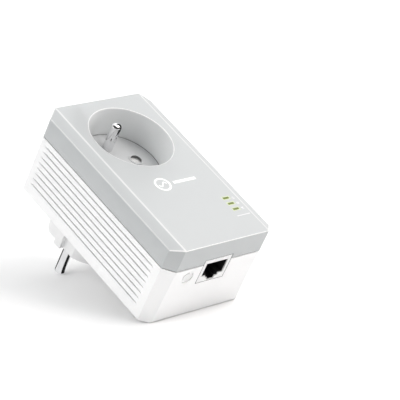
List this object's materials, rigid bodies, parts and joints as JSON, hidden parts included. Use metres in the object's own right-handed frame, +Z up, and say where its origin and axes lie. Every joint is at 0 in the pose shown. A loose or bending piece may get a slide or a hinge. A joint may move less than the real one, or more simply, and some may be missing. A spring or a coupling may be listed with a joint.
{
  "type": "powerline adapter",
  "caption": "Wall-plug powerline adapter with a grounded pass-through outlet on the front, a network socket and a pairing button at the lower end, and slotted sides.",
  "frame": {"origin": "middle of the plug's engagement face, on the common axis of the plug and the outlet", "axes": "+Y points into the wall along the plug pins, +Z up towards the outlet end of the case, +X to the right when the outlet is seen from the front"},
  "size_m": [0.059, 0.079, 0.096],
  "materials": {
    "cover_grey": "light warm grey, fine satin moulding texture",
    "case_white": "white, fine satin moulding texture",
    "screw_steel": "zinc plated, machined",
    "label_silver": "plain blank satin label",
    "outlet_grey": "light grey, satin",
    "shutter_grey": "light grey, smooth",
    "spring_steel": "drawn spring wire",
    "inner_plastic": "natural moulded plastic",
    "plated_pin": "bright nickel plating, fine turning marks",
    "brass_strip": "stamped brass strip",
    "plug_white": "white, satin",
    "wire_brown": "smooth wire insulation",
    "wire_blue": "smooth wire insulation",
    "board_green": "solder mask over tracks",
    "board_tan": "bare laminate",
    "jack_black": "smooth black plastic",
    "jack_white": "smooth white plastic",
    "gold_contact": "gold plated spring contacts",
    "part_black": "moulded black plastic",
    "plunger_red": "smooth red plastic",
    "button_white": "white, satin",
    "led_body": "clear resin on a white body",
    "light_lens": "clear plastic glowing yellow green",
    "chip_black": "moulded black epoxy",
    "sink_aluminium": "extruded, bare",
    "can_steel": "drawn steel can",
    "sheet_fibre": "thin insulating sheet",
    "ferrite": "pressed ferrite, dull",
    "tape_yellow": "yellow insulating tape",
    "cap_sleeve": "shrink sleeve with a bare end",
    "film_yellow": "yellow plastic box",
    "varistor_blue": "blue epoxy coating",
    "fuse_metal": "metal caps on a tube",
    "copper_wire": "enamelled copper winding"
  },
  "bodies": {
    "case": {"front_cover": "cover_grey", "rear_housing": "case_white", "case_screws": "screw_steel", "rating_label": "label_silver", "socket_insert": "outlet_grey", "shutter_spring": "spring_steel", "shutter_retainer": "inner_plastic", "outlet_earth_pin": "plated_pin", "live_contact": "brass_strip", "neutral_contact": "brass_strip", "plug_base": "plug_white", "live_pin": "plated_pin", "neutral_pin": "plated_pin", "earth_clips": "plated_pin", "earth_sleeve": "brass_strip", "earth_strap": "brass_strip", "live_wire": "wire_brown", "neutral_wire": "wire_blue", "main_board": "board_green", "board_screws": "screw_steel", "rj45_jack": "jack_black", "jack_frame": "jack_white", "rj45_contacts": "gold_contact", "tact_switch": "part_black", "leds": "led_body", "light_pipe": "light_lens", "processor": "chip_black", "heat_sink": "sink_aluminium", "memory_chip": "chip_black", "lan_transformer": "part_black", "crystal": "can_steel", "insulation_sheet": "sheet_fibre", "board_header": "part_black", "power_board": "board_tan", "transformer_core": "ferrite", "transformer_coil": "tape_yellow", "bulk_capacitor": "cap_sleeve", "film_capacitor": "film_yellow", "varistor": "varistor_blue", "fuse": "fuse_metal", "choke": "copper_wire", "bridge_rectifier": "part_black", "coupling_transformer": "tape_yellow"},
    "shutter": {"socket_shutter": "shutter_grey"},
    "button": {"pair_button": "button_white", "switch_plunger": "plunger_red"}
  },
  "joints": [
    {"name": "shutter_turn", "type": "hinge", "parent": "case", "child": "shutter", "pos_m": [0, -0.0414, 0], "axis": [0, 1, 0], "range_deg": [0, 39], "stiffness_Nm_per_rad": 0.0005, "deforming": ["shutter_spring"]},
    {"name": "button_press", "type": "slide", "parent": "case", "child": "button", "axis": [0, 0, 1], "range_m": [0, 0.0006], "stiffness_N_per_m": 400}
  ]
}
